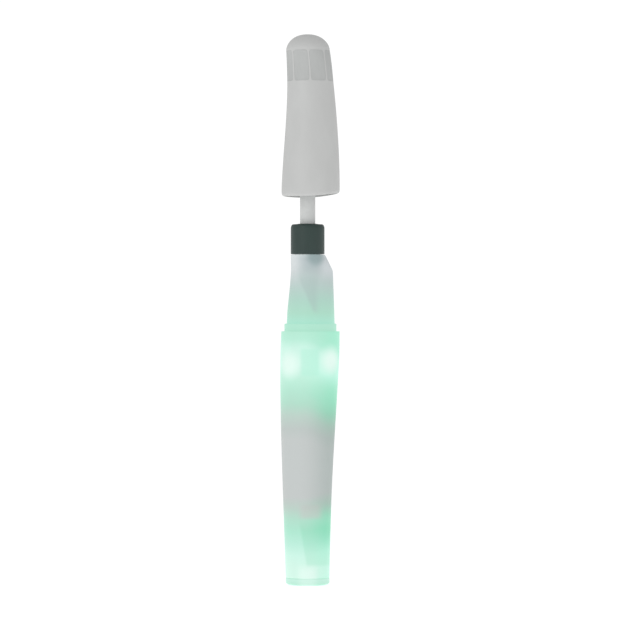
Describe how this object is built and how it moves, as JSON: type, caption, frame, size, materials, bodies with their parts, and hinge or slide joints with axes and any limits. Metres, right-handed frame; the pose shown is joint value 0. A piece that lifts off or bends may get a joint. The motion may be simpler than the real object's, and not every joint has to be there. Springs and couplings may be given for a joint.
{
  "type": "traffic baton light",
  "caption": "Telescopic traffic baton light: frosted lit barrel with a twist end cap, sloping neck with a power button, lock collar, and a hollow grip that slides in over the neck.",
  "frame": {"origin": "centre of the end cap's flat foot, on the axis of the stem", "axes": "+Z along the baton from the end cap to the grip; +X towards the side on which the barrel, the neck's shoulder and the grip swell out"},
  "size_m": [0.0396, 0.0392, 0.3668],
  "materials": {
    "frosted_tube": "frosted translucent, lit from inside",
    "frosted_neck": "frosted translucent, faintly lit",
    "frosted_cap": "frosted translucent, lit from inside",
    "grip_plastic": "satin",
    "pad_rubber": "soft matt",
    "stem_plastic": "satin",
    "collar_plastic": "satin",
    "inner_plastic": "satin white",
    "black_rubber": "matt",
    "circuit_board": "white solder mask",
    "chip_black": "matt",
    "bright_steel": "bright",
    "contact_brass": "plated",
    "cell_label": "plain sleeve, no marks",
    "led_lens": "clear tinted",
    "button_rubber": "soft matt",
    "wire_red": "smooth",
    "wire_black": "smooth"
  },
  "bodies": {
    "light_body": {"light_tube": "frosted_tube", "neck_housing": "frosted_neck", "neck_seal": "black_rubber", "guide_tube": "inner_plastic", "guide_bumper": "black_rubber", "stem_bushing": "inner_plastic", "collet": "inner_plastic", "led_ring_board": "circuit_board", "led_1": "led_lens", "led_2": "led_lens", "led_3": "led_lens", "led_4": "led_lens", "driver_board": "circuit_board", "driver_chip": "chip_black", "driver_coil": "chip_black", "board_screw_1": "bright_steel", "board_screw_2": "bright_steel", "lower_led_board": "circuit_board", "lower_led": "led_lens", "light_spreader": "inner_plastic", "battery_holder": "inner_plastic", "battery_1": "cell_label", "battery_2": "cell_label", "battery_3": "cell_label", "contact_spring_1": "bright_steel", "contact_spring_2": "bright_steel", "contact_spring_3": "bright_steel", "contact_plate_1": "contact_brass", "contact_plate_2": "contact_brass", "contact_plate_3": "contact_brass", "switch_board": "circuit_board", "tact_switch": "chip_black", "supply_wire_red": "wire_red", "supply_wire_black": "wire_black", "switch_wire": "wire_red", "tail_wire": "wire_black"},
    "collar": {"lock_collar": "collar_plastic", "stem_wiper": "black_rubber"},
    "grip": {"grip_shell": "grip_plastic", "grip_core": "inner_plastic", "grip_screw": "bright_steel", "stem": "stem_plastic", "stem_plug": "inner_plastic", "stem_foot": "collar_plastic", "foot_ring": "black_rubber", "grip_pad_1": "pad_rubber", "grip_pad_2": "pad_rubber", "grip_pad_3": "pad_rubber", "grip_pad_4": "pad_rubber", "grip_pad_5": "pad_rubber", "grip_pad_6": "pad_rubber", "grip_pad_7": "pad_rubber", "grip_pad_8": "pad_rubber"},
    "button": {"power_button": "button_rubber", "tact_plunger": "chip_black"},
    "twist_cap": {"end_cap": "frosted_cap", "end_cap_seal": "black_rubber"}
  },
  "joints": [
    {"name": "grip_slide", "type": "slide", "parent": "light_body", "child": "grip", "axis": [0, 0, -1], "range_m": [0, 0.08925]},
    {"name": "collar_turn", "type": "hinge", "parent": "light_body", "child": "collar", "pos_m": [0, 0, 0.2304], "axis": [0, 0, 1], "range_deg": [0, 90]},
    {"name": "power_press", "type": "slide", "parent": "light_body", "child": "button", "axis": [-0.8994, 0, -0.4371], "range_m": [0, 0.0009], "stiffness_N_per_m": 900},
    {"name": "cap_twist", "type": "hinge", "parent": "light_body", "child": "twist_cap", "pos_m": [0, 0, 0.0025], "axis": [0, 0, 1], "range_deg": [0, 60]}
  ]
}
